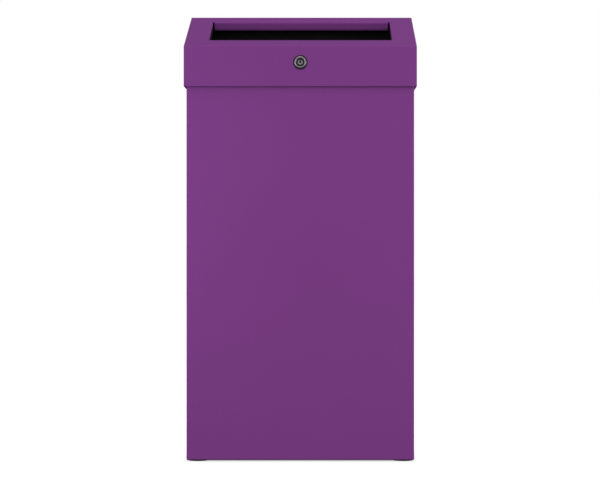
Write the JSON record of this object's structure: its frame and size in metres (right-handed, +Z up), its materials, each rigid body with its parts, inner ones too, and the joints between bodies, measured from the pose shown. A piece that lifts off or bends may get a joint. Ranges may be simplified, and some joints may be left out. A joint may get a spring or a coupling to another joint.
{
  "type": "steel waste bin",
  "caption": "Tall rectangular steel waste bin with a hinged, lockable hood whose sloping face has a wide slot, and a lift-out liner with drop handles.",
  "frame": {"origin": "On the floor, at the middle of the bin's bounding box", "axes": "+Z up; the front with the lock faces -Y; +X to the viewer's right"},
  "size_m": [0.3684, 0.228, 0.7221],
  "materials": {
    "purple_coat": "satin powder coat with fine orange peel",
    "liner_coat": "matte black powder coat",
    "zinc_steel": "zinc plated",
    "lock_nickel": "dull nickel",
    "lock_black": "black lacquer",
    "black_rubber": "matte rubber"
  },
  "bodies": {
    "casing": {"casing_wrap": "purple_coat", "back_panel": "purple_coat", "base_plate": "purple_coat", "rubber_feet": "black_rubber", "lock_keeper": "zinc_steel", "keeper_rivets": "zinc_steel", "rim_buffers": "black_rubber", "hinge_leaf_casing": "zinc_steel", "hinge_pin": "zinc_steel", "casing_hinge_rivets": "zinc_steel"},
    "hood": {"hood_shell": "purple_coat", "hood_cheek_left": "purple_coat", "hood_cheek_right": "purple_coat", "hood_rest_left": "purple_coat", "hood_rest_right": "purple_coat", "hinge_leaf_hood": "zinc_steel", "hood_hinge_rivets": "zinc_steel", "lock_gasket": "black_rubber", "lock_housing": "lock_nickel", "lock_washer": "zinc_steel", "lock_nut": "zinc_steel"},
    "lock_core": {"lock_plug": "lock_black", "lock_key_face": "lock_nickel", "lock_cam": "zinc_steel", "cam_washer": "zinc_steel", "cam_screw": "zinc_steel"},
    "liner": {"liner_walls": "liner_coat", "liner_floor": "liner_coat", "liner_tabs": "liner_coat", "handle_saddle_left": "zinc_steel", "handle_saddle_right": "zinc_steel", "saddle_rivets": "zinc_steel"},
    "handle_left": {"handle_left": "zinc_steel"},
    "handle_right": {"handle_right": "zinc_steel"}
  },
  "joints": [
    {"name": "hood_hinge", "type": "hinge", "parent": "casing", "child": "hood", "pos_m": [0, 0.1108, 0.607], "axis": [-1, 0, 0], "range_deg": [0, 105]},
    {"name": "lock_turn", "type": "hinge", "parent": "hood", "child": "lock_core", "pos_m": [0, -0.1116, 0.6306], "axis": [0, -1, 0], "range_deg": [0, 90]},
    {"name": "liner_lift", "type": "slide", "parent": "casing", "child": "liner", "axis": [0, 0, 1], "range_m": [0, 0.04]},
    {"name": "handle_left_swing", "type": "hinge", "parent": "liner", "child": "handle_left", "pos_m": [-0.15915, 0.0041, 0.5771], "axis": [0, -1, 0], "range_deg": [0, 175]},
    {"name": "handle_right_swing", "type": "hinge", "parent": "liner", "child": "handle_right", "pos_m": [0.15915, 0.0041, 0.5771], "axis": [0, 1, 0], "range_deg": [0, 175]}
  ]
}
